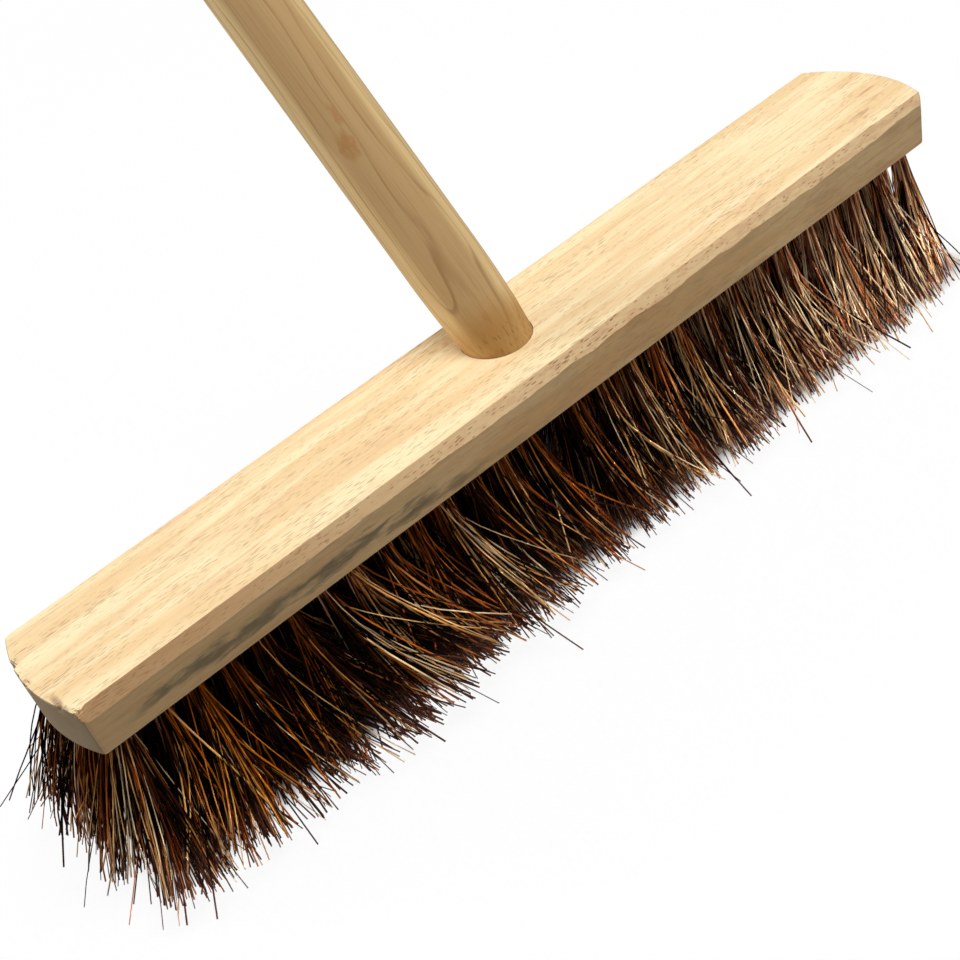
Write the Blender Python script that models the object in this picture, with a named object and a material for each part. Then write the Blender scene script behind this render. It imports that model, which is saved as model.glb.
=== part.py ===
"""A yard brush: a hardwood stock with bowed ends, a round handle pushed into a leaned
socket, and stiff palm-fibre tufts set in blind holes.

X runs along the stock, -Y is the sweeping side and +Z is up. The origin is the centre
of the stock's underside, where the fibre leaves the wood. Lengths are in metres.
"""

import math
import random

import bmesh
import bpy
from mathutils import Vector

# Stock
STOCK_LENGTH = 0.457
STOCK_WIDTH = 0.072
STOCK_THICKNESS = 0.022
END_BOW = 0.0085
CORNER_RADIUS = 0.0025
EASED_EDGE = 0.0008
ARRIS_DEPTH = 0.0022
ARRIS_HEIGHT = 0.0054

# Handle, measured along its own axis from where the axis meets the stock's top face
HANDLE_LENGTH = 1.2
HANDLE_DIAMETER = 0.0335
HANDLE_LEAN = math.radians(34)
SOCKET_X = 0.007
SOCKET_Y = 0.004
FOOT_DEPTH = 0.013
FOOT_DIAMETER = 0.0266
FOOT_CHAMFER = 0.001
SHOULDER_ABOVE_STOCK = 0.009
SHOULDER_DIAMETER = 0.0315
TAPER_ABOVE_STOCK = 0.04
DOME_HEIGHT = 0.009

# Tufts
COLUMNS_EACH_SIDE = 14
ROWS = 5
MIDDLE_PITCH = 0.0248
END_MARGIN = 0.0185
EDGE_MARGIN = 0.009
PLUG_DIAMETER = 0.0072
PLUG_DEPTH = 0.010
BACKING_WIDTH = 0.0092
BACKING_THICKNESS = 0.002
BACKING_OVERHANG = 0.0052
SOCKET_WALL = 0.001

# Strands
OUTER_STRAND_COUNT = 3
INNER_STRAND_COUNT = 2
BRISTLE_REACH = 0.068
FLOOR_CUT = 0.0005
RAGGED_TRIM = 0.006
LEFT_END_SPLAY = 0.041
RIGHT_END_SPLAY = 0.028
LEFT_SIDE_SPLAY = 0.028
RIGHT_SIDE_SPLAY = 0.014
ROOT_FAN = 0.0021
TIP_FAN = 0.0050
TIP_STRAY = 0.0012
STRAND_ROOT_DIAMETER = 0.0031
STRAND_TIP_DIAMETER = 0.0022

# Fit and cutting
FIT_GAP = 0.0003
OVERRUN = 0.004
SOCKET_OVERRUN = 0.02

# Counts and exponents that have no length
BOW_STEPS = 12
CORNER_STEPS = 3
HANDLE_SIDES = 32
DOME_STEPS = 5
PLUG_SIDES = 6
STRAND_SIDES = 3
END_SPLAY_POWER = 3
SIDE_SPLAY_POWER = 1.5
BOW_OUT_POWER = 1.5
MIDWAY_share = 0.5
ROUND_PROFILE_share = 0.5
LEFT_CORNER_EASE_share = 0.2
RIGHT_CORNER_EASE_share = 0.7
STRAND_SEED = 11

STOCK_COLOUR = (0.72, 0.52, 0.29)
HANDLE_COLOUR = (0.62, 0.43, 0.22)
FIBRE_COLOUR = (0.13, 0.052, 0.024)
WOOD_ROUGHNESS = 0.6
FIBRE_ROUGHNESS = 0.5

HANDLE_AXIS = Vector((0, math.sin(HANDLE_LEAN), math.cos(HANDLE_LEAN)))
SOCKET_POINT = Vector((SOCKET_X, SOCKET_Y, STOCK_THICKNESS))


def clear_scene():
    for obj in list(bpy.data.objects):
        bpy.data.objects.remove(obj, do_unlink=True)


def make_material(name, colour, roughness):
    material = bpy.data.materials.new(name)
    material.use_nodes = True
    shader = material.node_tree.nodes["Principled BSDF"]
    shader.inputs["Base Color"].default_value = (*colour, 1)
    shader.inputs["Roughness"].default_value = roughness
    shader.inputs["Metallic"].default_value = 0
    return material


def add_object(name, bm, material=None):
    """A mesh object from a bmesh, with its faces turned outwards."""
    bmesh.ops.recalc_face_normals(bm, faces=bm.faces)
    mesh = bpy.data.meshes.new(name)
    bm.to_mesh(mesh)
    bm.free()
    obj = bpy.data.objects.new(name, mesh)
    bpy.context.scene.collection.objects.link(obj)
    if material:
        mesh.materials.append(material)
    return obj


def add_helper(name, bm):
    """A hidden mesh that a Boolean reads."""
    helper = add_object(name, bm)
    helper.hide_render = True
    helper.display_type = "WIRE"
    return helper


def add_empty(name, location=(0, 0, 0), lean=0):
    empty = bpy.data.objects.new(name, None)
    empty.location = location
    empty.rotation_euler = (-lean, 0, 0)
    bpy.context.scene.collection.objects.link(empty)
    return empty


def apply_boolean(obj, helper, operation):
    modifier = obj.modifiers.new(helper.name, "BOOLEAN")
    modifier.operation = operation
    modifier.object = helper
    modifier.solver = "EXACT"


def circle(radius, sides, z, centre=(0, 0), turn=0.0):
    """Points of a level polygon."""
    angles = (math.tau * i / sides + turn for i in range(sides))
    return [
        Vector((centre[0] + radius * math.cos(a), centre[1] + radius * math.sin(a), z))
        for a in angles
    ]


def add_rings(bm, rings):
    """A closed solid through rings of equal length, each end capped by one face."""
    loops = [[bm.verts.new(point) for point in ring] for ring in rings]
    for lower, upper in zip(loops, loops[1:]):
        for i, vertex in enumerate(lower):
            after = (i + 1) % len(lower)
            bm.faces.new((vertex, lower[after], upper[after], upper[i]))
    bm.faces.new(reversed(loops[0]))
    bm.faces.new(loops[-1])


def add_box(bm, low, high):
    corners = ((low[0], low[1]), (high[0], low[1]), (high[0], high[1]), (low[0], high[1]))
    add_rings(bm, [[Vector((x, y, z)) for x, y in corners] for z in (low[2], high[2])])


# Stock


def end_bow_points():
    """The right end of the stock in plan, front corner to back corner, on one arc."""
    half_width = STOCK_WIDTH / 2
    radius = (half_width**2 + END_BOW**2) / (2 * END_BOW)
    centre_x = STOCK_LENGTH / 2 - radius
    sweep = math.asin(half_width / radius)
    angles = (sweep * (2 * i / BOW_STEPS - 1) for i in range(BOW_STEPS + 1))
    return [(centre_x + radius * math.cos(a), radius * math.sin(a)) for a in angles]


def stock_outline():
    right = end_bow_points()
    left = [(-x, -y) for x, y in right]
    return right + left


def make_stock(material):
    outline = stock_outline()
    arris_foot = STOCK_THICKNESS - ARRIS_HEIGHT
    levels = (0, arris_foot, STOCK_THICKNESS)
    bm = bmesh.new()
    add_rings(bm, [[Vector((x, y, z)) for x, y in outline] for z in levels])
    half_width = STOCK_WIDTH / 2
    corners = [
        edge
        for edge in bm.edges
        if abs(edge.verts[0].co.z - edge.verts[1].co.z) > EASED_EDGE
        and abs(abs(edge.verts[0].co.y) - half_width) < EASED_EDGE
    ]
    bmesh.ops.bevel(
        bm,
        geom=corners,
        offset=CORNER_RADIUS,
        segments=CORNER_STEPS,
        profile=ROUND_PROFILE_share,
        affect="EDGES",
    )
    # The sanded arris along the front: the top outline stops short of the front face.
    for vertex in bm.verts:
        if vertex.co.z > arris_foot + EASED_EDGE:
            vertex.co.y = max(vertex.co.y, ARRIS_DEPTH - half_width)
    rims = [
        edge
        for edge in bm.edges
        if all(v.co.z < EASED_EDGE for v in edge.verts)
        or all(v.co.z > STOCK_THICKNESS - EASED_EDGE for v in edge.verts)
    ]
    bmesh.ops.bevel(bm, geom=rims, offset=EASED_EDGE, segments=1, affect="EDGES")
    return add_object("stock", bm, material)


def cut_stock(stock, columns):
    """The backing recesses, the blind tuft holes and the leaned handle socket."""
    recesses = bmesh.new()
    holes = bmesh.new()
    for x, rows in columns:
        add_box(recesses, *backing_box(x, FIT_GAP, -OVERRUN))
        for y in rows:
            add_plug(holes, x, y, FIT_GAP, 0)
    apply_boolean(stock, add_helper("recess_cutter", recesses), "DIFFERENCE")
    apply_boolean(stock, add_helper("hole_cutter", holes), "DIFFERENCE")
    socket = bmesh.new()
    add_rings(
        socket,
        [
            circle(foot_radius(s) + FIT_GAP, HANDLE_SIDES, s)
            for s in (-FOOT_DEPTH - FIT_GAP, SHOULDER_ABOVE_STOCK + SOCKET_OVERRUN)
        ],
    )
    cutter = add_helper("socket_cutter", socket)
    cutter.location = SOCKET_POINT
    cutter.rotation_euler = (-HANDLE_LEAN, 0, 0)
    apply_boolean(stock, cutter, "DIFFERENCE")


# Handle


def foot_radius(s):
    """Radius of the whittled foot at a distance s along the handle from the stock's top."""
    taper = (SHOULDER_DIAMETER - FOOT_DIAMETER) / 2 / (FOOT_DEPTH + SHOULDER_ABOVE_STOCK)
    return FOOT_DIAMETER / 2 + taper * (s + FOOT_DEPTH)


def make_handle(material):
    radius = HANDLE_DIAMETER / 2
    shoulder = HANDLE_LENGTH - FOOT_DEPTH - DOME_HEIGHT
    profile = [
        (-FOOT_DEPTH, FOOT_DIAMETER / 2 - FOOT_CHAMFER),
        (FOOT_CHAMFER - FOOT_DEPTH, foot_radius(FOOT_CHAMFER - FOOT_DEPTH)),
        (SHOULDER_ABOVE_STOCK, SHOULDER_DIAMETER / 2),
        (TAPER_ABOVE_STOCK, radius),
    ]
    for i in range(DOME_STEPS):
        angle = math.pi / 2 * i / DOME_STEPS
        profile.append((shoulder + DOME_HEIGHT * math.sin(angle), radius * math.cos(angle)))
    bm = bmesh.new()
    add_rings(bm, [circle(r, HANDLE_SIDES, s) for s, r in profile])
    handle = add_object("handle", bm, material)
    handle.data.shade_smooth()
    handle.data.set_sharp_from_angle(angle=math.radians(30))
    return handle


# Tufts


def column_places():
    """X of every column of tufts, left to right."""
    last = STOCK_LENGTH / 2 - END_MARGIN
    pitch = (last - MIDDLE_PITCH / 2) / (COLUMNS_EACH_SIDE - 1)
    right = [MIDDLE_PITCH / 2 + pitch * k for k in range(COLUMNS_EACH_SIDE)]
    return [-x for x in reversed(right)] + right


def row_places():
    """Y of every row of tufts, front to back."""
    last = STOCK_WIDTH / 2 - EDGE_MARGIN
    return [last * (2 * k / (ROWS - 1) - 1) for k in range(ROWS)]


def clears_socket(x, y):
    """Whether a tuft hole at this place stays a wall's thickness away from the socket."""
    reach = FIT_GAP + SOCKET_WALL
    for point in circle(PLUG_DIAMETER / 2 + FIT_GAP, PLUG_SIDES, PLUG_DEPTH + FIT_GAP, (x, y)):
        along = (point - SOCKET_POINT).dot(HANDLE_AXIS)
        across = (point - SOCKET_POINT - along * HANDLE_AXIS).length
        if along > -FOOT_DEPTH - reach and across < foot_radius(along) + reach:
            return False
    return True


def tuft_layout():
    """Each column's X with the Y of the tufts that it holds."""
    return [
        (x, [y for y in row_places() if clears_socket(x, y)]) for x in column_places()
    ]


def backing_box(x, gap, bottom):
    """Low and high corners of a column's slice of backing, grown by a gap."""
    half_length = row_places()[-1] + BACKING_OVERHANG + gap
    half_width = BACKING_WIDTH / 2 + gap
    return (
        (x - half_width, -half_length, bottom),
        (x + half_width, half_length, BACKING_THICKNESS + gap),
    )


def add_plug(bm, x, y, gap, bottom):
    """The root of a tuft, or with a gap the hole that it sits in."""
    radius = PLUG_DIAMETER / 2 + gap
    top = PLUG_DEPTH + gap
    add_rings(bm, [circle(radius, PLUG_SIDES, z, (x, y)) for z in (bottom, top)])


def tuft_tip(x, y):
    """Where the tips of a tuft stand: the nearer to the edge, the further they lean out.

    The brush is worn askew, so the left half leans out further than the right. A corner
    tuft leans out along the stock less than one in the middle of the end."""
    along = x / column_places()[-1]
    across = y / row_places()[-1]
    if x < 0:
        most, ease_share = LEFT_END_SPLAY, LEFT_CORNER_EASE_share
    else:
        most, ease_share = RIGHT_END_SPLAY, RIGHT_CORNER_EASE_share
    end_splay = most * abs(along) ** END_SPLAY_POWER * (1 - ease_share * across**2)
    side_most = ((1 - along) * LEFT_SIDE_SPLAY + (1 + along) * RIGHT_SIDE_SPLAY) / 2
    side_splay = side_most * abs(across) ** SIDE_SPLAY_POWER
    return x + math.copysign(end_splay, x), y + math.copysign(side_splay, y)


def add_strand(bm, root, tip, short, stations):
    """One tapering strand, cut level at its tip. Its path leans out more towards the floor.

    All strands are cut about as long, so one that leans far out ends above the floor."""
    length = BRISTLE_REACH + FLOOR_CUT
    reach = math.sqrt(length**2 - math.dist(root, tip) ** 2)
    trim = min(1 - short / length, BRISTLE_REACH / reach)
    rooted = BACKING_THICKNESS / 3
    rings = [circle(STRAND_ROOT_DIAMETER / 2, STRAND_SIDES, rooted, root)]
    for station in stations:
        along = station * trim
        lean = along**BOW_OUT_POWER
        centre = (root[0] + (tip[0] - root[0]) * lean, root[1] + (tip[1] - root[1]) * lean)
        width = STRAND_ROOT_DIAMETER + (STRAND_TIP_DIAMETER - STRAND_ROOT_DIAMETER) * along
        rings.append(circle(width / 2, STRAND_SIDES, -along * reach, centre))
    add_rings(bm, rings)


def is_outer(x, y):
    """Whether a tuft stands in the ring round the edge of the brush."""
    return abs(x) == column_places()[-1] or abs(y) == row_places()[-1]


def strands_in_tuft(x, y):
    return OUTER_STRAND_COUNT if is_outer(x, y) else INNER_STRAND_COUNT


def add_tuft(bm, x, y, draw):
    """The strands of one tuft, fanning out from its root without turning round each other."""
    tip_x, tip_y = tuft_tip(x, y)
    stations = (MIDWAY_share, 1) if is_outer(x, y) else (1,)
    count = strands_in_tuft(x, y)
    for k in range(count):
        angle = math.tau * k / count + math.pi / 2
        way = (math.cos(angle), math.sin(angle))
        root = (x + ROOT_FAN * way[0], y + ROOT_FAN * way[1])
        stray = (draw.uniform(-TIP_STRAY, TIP_STRAY), draw.uniform(-TIP_STRAY, TIP_STRAY))
        tip = (tip_x + TIP_FAN * way[0] + stray[0], tip_y + TIP_FAN * way[1] + stray[1])
        short = draw.uniform(0, RAGGED_TRIM) if k else 0
        add_strand(bm, root, tip, short, stations)


def make_column(index, x, rows, material, draw):
    """A column of tufts: its slice of backing with the root plugs above and strands below."""
    name = f"tufts_{index:02d}"
    slice_mesh = bmesh.new()
    add_box(slice_mesh, *backing_box(x, 0, 0))
    column = add_object(name, slice_mesh, material)
    fibre = bmesh.new()
    for y in rows:
        add_plug(fibre, x, y, 0, BACKING_THICKNESS * 2 / 3)
        add_tuft(fibre, x, y, draw)
    apply_boolean(column, add_helper(f"{name}_fibre", fibre), "UNION")
    return column


def main():
    clear_scene()
    stock_wood = make_material("stock_wood", STOCK_COLOUR, WOOD_ROUGHNESS)
    handle_wood = make_material("handle_wood", HANDLE_COLOUR, WOOD_ROUGHNESS)
    palm_fibre = make_material("palm_fibre", FIBRE_COLOUR, FIBRE_ROUGHNESS)

    head = add_empty("head")
    socket_axis = add_empty("socket_axis", SOCKET_POINT, HANDLE_LEAN)

    columns = tuft_layout()
    stock = make_stock(stock_wood)
    cut_stock(stock, columns)
    stock.parent = head

    handle = make_handle(handle_wood)
    handle.parent = socket_axis

    draw = random.Random(STRAND_SEED)
    for index, (x, rows) in enumerate(columns, start=1):
        make_column(index, x, rows, palm_fibre, draw).parent = head

    tufts = [(x, y) for x, rows in columns for y in rows]
    strands = sum(strands_in_tuft(x, y) for x, y in tufts)
    print(f"{len(columns)} columns, {len(tufts)} tufts, {strands} strands")


main()
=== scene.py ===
# %% [markdown]
# # A yard brush
#
# The brush is a plank of pale hardwood with stiff palm fibre in its underside and a round
# handle pushed into its top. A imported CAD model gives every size. This lesson dresses that
# model: new meshes with the hand-made detail that the solids leave out, and materials that
# are worked out from place alone, with no pictures.

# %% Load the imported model
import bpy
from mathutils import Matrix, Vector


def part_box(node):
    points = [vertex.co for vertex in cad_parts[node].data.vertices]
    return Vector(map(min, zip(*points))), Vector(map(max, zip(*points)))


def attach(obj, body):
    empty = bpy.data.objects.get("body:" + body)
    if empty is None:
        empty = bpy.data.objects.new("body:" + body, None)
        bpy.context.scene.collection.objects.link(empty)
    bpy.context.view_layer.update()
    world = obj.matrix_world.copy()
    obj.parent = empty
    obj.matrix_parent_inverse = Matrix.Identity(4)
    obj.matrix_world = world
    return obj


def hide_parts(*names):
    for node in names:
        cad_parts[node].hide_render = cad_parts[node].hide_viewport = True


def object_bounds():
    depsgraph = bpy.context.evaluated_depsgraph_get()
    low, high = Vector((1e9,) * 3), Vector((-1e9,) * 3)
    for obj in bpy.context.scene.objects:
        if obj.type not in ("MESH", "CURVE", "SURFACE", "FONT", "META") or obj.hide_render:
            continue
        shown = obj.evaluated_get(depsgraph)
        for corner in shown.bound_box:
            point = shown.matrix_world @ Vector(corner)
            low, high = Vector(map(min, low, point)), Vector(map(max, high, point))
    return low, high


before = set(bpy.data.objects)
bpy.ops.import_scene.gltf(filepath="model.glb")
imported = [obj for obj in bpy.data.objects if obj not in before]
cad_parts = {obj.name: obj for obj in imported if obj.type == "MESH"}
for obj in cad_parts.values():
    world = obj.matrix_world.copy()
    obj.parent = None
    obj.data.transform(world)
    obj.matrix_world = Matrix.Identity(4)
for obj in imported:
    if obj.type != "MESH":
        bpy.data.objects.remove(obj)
cad_low, cad_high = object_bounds()
print("CAD box", [round(x, 4) for x in (*cad_low, *cad_high)])

# %% The other tools
import math

import bpy
import numpy as np
from mathutils import Matrix, Vector, noise

scene = bpy.context.scene
scene.view_settings.view_transform = "Standard"


def put_in_scene(name, data):
    made = bpy.data.objects.new(name, data)
    scene.collection.objects.link(made)
    return made


# %% [markdown]
# ## The camera
#
# The picture was taken from in front of the left end, looking down at the head with the
# camera tilted, so that the stock runs up the picture from corner to corner. Three angles
# and a place say all of that: heading, pitch and roll.

# %% The camera
CAMERA_PLACE = (-0.26411, -0.55704, 0.38627)
CAMERA_HEADING, CAMERA_PITCH, CAMERA_ROLL = -22.996, 34.438, -23.443
LENS, SENSOR_WIDTH = 64.92, 36
NEAR_CLIP, FAR_CLIP = 0.01, 50

camera = put_in_scene("camera", bpy.data.cameras.new("camera"))
camera.data.lens, camera.data.sensor_width = LENS, SENSOR_WIDTH
camera.data.clip_start, camera.data.clip_end = NEAR_CLIP, FAR_CLIP
turn = Matrix.Rotation(math.radians(CAMERA_HEADING), 4, "Z")
turn @= Matrix.Rotation(math.radians(90 - CAMERA_PITCH), 4, "X")
turn @= Matrix.Rotation(math.radians(CAMERA_ROLL), 4, "Z")
camera.matrix_world = Matrix.Translation(CAMERA_PLACE) @ turn
scene.camera = camera
print("camera looks along", [round(x, 4) for x in turn @ Vector((0, 0, -1))])

# %% [markdown]
# ## Node trees as sums
#
# A material is a net of nodes. Writing each node and link by hand is long and hard to
# read, so one small class wraps an output socket. A sum, product or power of wires adds
# its own Math node, and a vector among them makes it a Vector Math node. Every other node
# comes from one method: its type, its settings, then the values or links of its sockets.

# %% A wire that can be added and multiplied
def find_socket(sockets, key):
    if isinstance(key, int):
        return sockets[key]
    return next(s for s in sockets if key in (s.identifier, s.name))


def fill(socket, value):
    """Links a wire to an input socket, or sets a plain value on it."""
    if isinstance(value, Wire):
        socket.id_data.links.new(value.socket, socket)
    else:
        socket.default_value = value


def is_number(value):
    return isinstance(value, Wire) and value.socket.type in ("VALUE", "INT")


def method(operation, reflected=False):
    """A method that joins a wire and another value, in either order."""
    if reflected:
        return lambda wire, other: wire.maths(operation, other, wire)
    return lambda wire, other: wire.maths(operation, wire, other)


class Wire:
    """An output socket of a node tree, to write sums with."""

    def __init__(self, tree, socket=None):
        self.tree, self.socket = tree, socket

    def node(self, kind, settings=None, sockets=None, out=0):
        made = self.tree.nodes.new(kind)
        for name, value in (settings or {}).items():
            setattr(made, name, value)
        for key, value in (sockets or {}).items():
            fill(find_socket(made.inputs, key), value)
        outputs = made.outputs
        return Wire(self.tree, find_socket(outputs, out) if len(outputs) else made)

    def also(self, out):
        """Another output of the same node."""
        return Wire(self.tree, find_socket(self.socket.node.outputs, out))

    def maths(self, operation, *values):
        """A Math node, or a Vector Math node where a value is a vector."""
        flat = all(isinstance(v, (int, float)) or is_number(v) for v in values)
        if not flat:
            values = [(v, v, v) if isinstance(v, (int, float)) else v for v in values]
        kind = "ShaderNodeMath" if flat else "ShaderNodeVectorMath"
        return self.node(kind, {"operation": operation}, dict(enumerate(values)))

    def scaled(self, size):
        settings, sockets = {"operation": "SCALE"}, {0: self, "Scale": size}
        return self.node("ShaderNodeVectorMath", settings, sockets)

    def length(self):
        return self.maths("LENGTH", self).also("Value")

    def parts(self):
        split = self.node("ShaderNodeSeparateXYZ", None, {0: self})
        return [split.also(axis) for axis in "XYZ"]

    __add__, __radd__ = method("ADD"), method("ADD", True)
    __sub__, __rsub__ = method("SUBTRACT"), method("SUBTRACT", True)
    __mul__, __rmul__ = method("MULTIPLY"), method("MULTIPLY", True)
    __truediv__, __pow__ = method("DIVIDE"), method("POWER")
    at_least, at_most = method("MAXIMUM"), method("MINIMUM")


# %% Colours and small helpers
MIDDLE_GREY = (0.5, 0.5, 0.5)
SPOT_CORE, SPOT_RIM = 0.45, 1.15


def paint(red, green, blue):
    """A colour as a paint chart gives it, 0 to 255, in Blender's linear numbers."""
    shares = (c / 255 for c in (red, green, blue))
    return (*(s / 12.92 if s <= 0.04045 else ((s + 0.055) / 1.055) ** 2.4 for s in shares), 1)


def blend(factor, first, second, how="MIX"):
    settings = {"data_type": "RGBA", "blend_type": how}
    sockets = {"Factor_Float": factor, "A_Color": first, "B_Color": second}
    return factor.node("ShaderNodeMix", settings, sockets, "Result_Color")


def coats(colour, *pairs):
    """Coats over a colour, each with a share from 0 to 1 and a paint."""
    for share, coat in pairs:
        colour = blend(share, colour, coat)
    return colour


def ease(wire, low, high, start=0, end=1):
    """Start below low, end above high, and an S-curve between them."""
    sockets = {"Value": wire, "From Min": low, "From Max": high, "To Min": start, "To Max": end}
    return wire.node("ShaderNodeMapRange", {"interpolation_type": "SMOOTHSTEP"}, sockets)


def stretched(place, *sizes):
    """The place counted in grains of these sizes along X, Y and Z."""
    return place.node("ShaderNodeMapping", None, {"Vector": place, "Scale": [1 / s for s in sizes]})


def cloud(place, detail=2, roughness=0.5):
    """Soft noise, from about 0.3 to 0.7."""
    sockets = {"Vector": place, "Scale": 1, "Detail": detail, "Roughness": roughness}
    return place.node("ShaderNodeTexNoise", None, sockets)


def grain(place, sizes, detail=2, roughness=0.5):
    """Soft noise in grains of these sizes along X, Y and Z."""
    return cloud(stretched(place, *sizes), detail, roughness)


def sway(place, sizes, detail=2, roughness=0.5):
    """Soft arrows that point every way, to bend a pattern with."""
    return grain(place, sizes, detail, roughness).also("Color") - MIDDLE_GREY


def turned(place, angles):
    """The place in a frame that is turned by these angles."""
    return place.node("ShaderNodeMapping", None, {"Vector": place, "Rotation": angles})


def spot(place, centre, size):
    """One in the middle of a soft ellipsoid, and nothing outside it."""
    return ease(((place - centre) / size).length(), SPOT_CORE, SPOT_RIM, 1, 0)


def new_material(name):
    material = bpy.data.materials.new(name)
    material.use_nodes = True
    surface = material.node_tree.nodes["Principled BSDF"]
    return material, Wire(material.node_tree), surface


def feed(node, **sockets):
    """Fills the sockets of a node that is there already."""
    for name, value in sockets.items():
        fill(node.inputs[name.replace("_", " ")], value)


print("a straw colour is", [round(c, 3) for c in paint(243, 210, 158)])

# %% [markdown]
# ## Floor, light and background
#
# The picture was taken on white, with soft light from overhead and a little from all
# round. A floor that threw its white back up would light the brush from below, so it is
# white only to the camera and grey to the light. Part of its white is a plain glow, which
# leaves a faint shadow. Under the brush the camera sees painted shade: the floor is painted
# nearly black there, as little light gets in.

# %% The floor
FLOOR_SIDE = 14

floor_mesh = bpy.data.meshes.new("floor")
half = FLOOR_SIDE / 2
corners = [(x * half, y * half, cad_low.z) for x, y in ((-1, -1), (1, -1), (1, 1), (-1, 1))]
floor_mesh.from_pydata(corners, [], [(0, 1, 2, 3)])
floor = put_in_scene("floor", floor_mesh)
print("floor at", round(cad_low.z, 4))

# %% The floor's paper
FLOOR_WHITE, FLOOR_BOUNCE, FLOOR_PAINTED_SHADE = [(v, v, v, 1) for v in (0.95, 0.3, 0.06)]
# The glow's share near the brush, and the distances between which it grows to one.
FLOOR_GLOW, GLOW_START, GLOW_FULL = 0.90, 0.4, 1.6
# Left and right, front and back of the two patches of floor under the fibre, painted as shade.
UNDER_BRUSH = ((-0.224, 0.222), (-0.036, 0.060)), ((-0.15, 0.20), (-0.036, 0.078))
DARK_INSIDE, WHITE_OUTSIDE = -0.010, 0.012


def make_floor_paper():
    paper, wire, surface = new_material("floor_paper")
    wire.tree.nodes.remove(surface)
    place = wire.node("ShaderNodeTexCoord", out="Object")
    x, y, _ = place.parts()
    camera_ray = wire.node("ShaderNodeLightPath", out="Is Camera Ray")
    bright = camera_ray
    for (left, right), (front, back) in UNDER_BRUSH:
        outside = (left - x).at_least(x - right).at_least((front - y).at_least(y - back))
        bright = bright * ease(outside, DARK_INSIDE, WHITE_OUTSIDE)
    glow = wire.node("ShaderNodeEmission", None, {"Color": (1, 1, 1, 1)})
    white = wire.node("ShaderNodeBsdfDiffuse", None, {"Color": FLOOR_WHITE})
    # To the camera, the floor under the brush is painted shade, nearly black.
    under = blend(camera_ray, FLOOR_BOUNCE, FLOOR_PAINTED_SHADE)
    grey = wire.node("ShaderNodeBsdfDiffuse", None, {"Color": under})
    share = ease(place.length(), GLOW_START, GLOW_FULL, FLOOR_GLOW, 1)
    shown = wire.node("ShaderNodeMixShader", None, {0: share, 1: white, 2: glow})
    either = wire.node("ShaderNodeMixShader", None, {0: bright, 1: grey, 2: shown})
    feed(wire.tree.nodes["Material Output"], Surface=either)
    return paper


floor_mesh.materials.append(make_floor_paper())
print("floor white", FLOOR_WHITE[0], "and grey", FLOOR_BOUNCE[0])

# %% The world
WORLD_LEVEL = 0.30

world = bpy.data.worlds.new("studio")
world.use_nodes = True
scene.world = world
wire = Wire(world.node_tree)
level = ease(wire.node("ShaderNodeLightPath", out="Is Camera Ray"), 0, 1, WORLD_LEVEL, 1)
feed(world.node_tree.nodes["Background"], Color=(1, 1, 1, 1), Strength=level)
print("world level", WORLD_LEVEL)

# %% The lamps
# Each lamp's name, place, aim, width, height, watts and spread in degrees.
LAMPS = (
    ("overhead_softbox", (0.25, -0.13, 1.7), (0, 0, 0), 1.1, 1.1, 22.6, 180),
    ("low_strip", (1.05, -0.85, 0.0), (0.06, -0.05, -0.062), 0.5, 0.02, 0.17, 5),
    ("left_softbox", (-1.1, 1.3, 0.7), (0, 0.1, 0.15), 0.6, 0.6, 13, 180),
)

for name, place, aim, width, height, watts, spread in LAMPS:
    lamp = bpy.data.lights.new(name, "AREA")
    lamp.shape, lamp.size, lamp.size_y, lamp.energy = "RECTANGLE", width, height, watts
    lamp.spread = math.radians(spread)
    way = (Vector(aim) - Vector(place)).to_track_quat("-Z", "Y")
    put_in_scene(name, lamp).matrix_world = Matrix.Translation(place) @ way.to_matrix().to_4x4()
    print(name, watts, "watts")

# %% [markdown]
# ## The stock
#
# The stock is one plank with bowed ends, the right one sawn a little out of square. Its
# front top edge was sanded by hand, so that arris is a little wavy. The left end's top
# edge has five small chips where the grain tore, and the arris has a nick. A loft suits
# it: rings of points that follow the outline, stepped inwards and upwards round the edges.
# The rings near the arris are drawn to its two borders, which keeps both clean. Then the
# arris is cut and the chips are pressed into the rings.

# %% The stock's outline
stock_low, stock_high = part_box("stock")
LENGTH, WIDTH, THICKNESS = stock_high - stock_low
LEFT_BOW, RIGHT_BOW = 0.0068, 0.0082
CORNER_RADIUS = 0.0025
EASED_EDGE = 0.0008
LEFT_SKEW, RIGHT_SKEW = 0.012, 0.043
OUT_OF_SQUARE, SQUARE_LEVEL = 0.27, 0.0153
OUTLINE_STEP = 0.0025
END_STEPS, CORNER_STEPS = 64, 6


def end_outline(bow):
    """Points and outward normals of the right end, front corner to back corner."""
    half_width = WIDTH / 2
    radius = (half_width**2 + bow**2) / (2 * bow)
    centre = LENGTH / 2 - radius
    corner_y = half_width - CORNER_RADIUS
    corner_x = centre + math.sqrt((radius - CORNER_RADIUS) ** 2 - corner_y**2)
    swing = math.atan2(corner_y, corner_x - centre)
    front = np.linspace(-math.pi / 2, -swing, CORNER_STEPS, endpoint=False)
    end = np.linspace(-swing, swing, END_STEPS, endpoint=False)
    back = np.linspace(swing, math.pi / 2, CORNER_STEPS)
    arcs = [(corner_x, -corner_y, CORNER_RADIUS, a) for a in front]
    arcs += [(centre, 0, radius, a) for a in end]
    arcs += [(corner_x, corner_y, CORNER_RADIUS, a) for a in back]
    normals = np.array([(math.cos(a), math.sin(a)) for *_, a in arcs])
    points = np.array([(x + r * n[0], y + r * n[1]) for (x, y, r, _), n in zip(arcs, normals)])
    return points, normals


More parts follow.
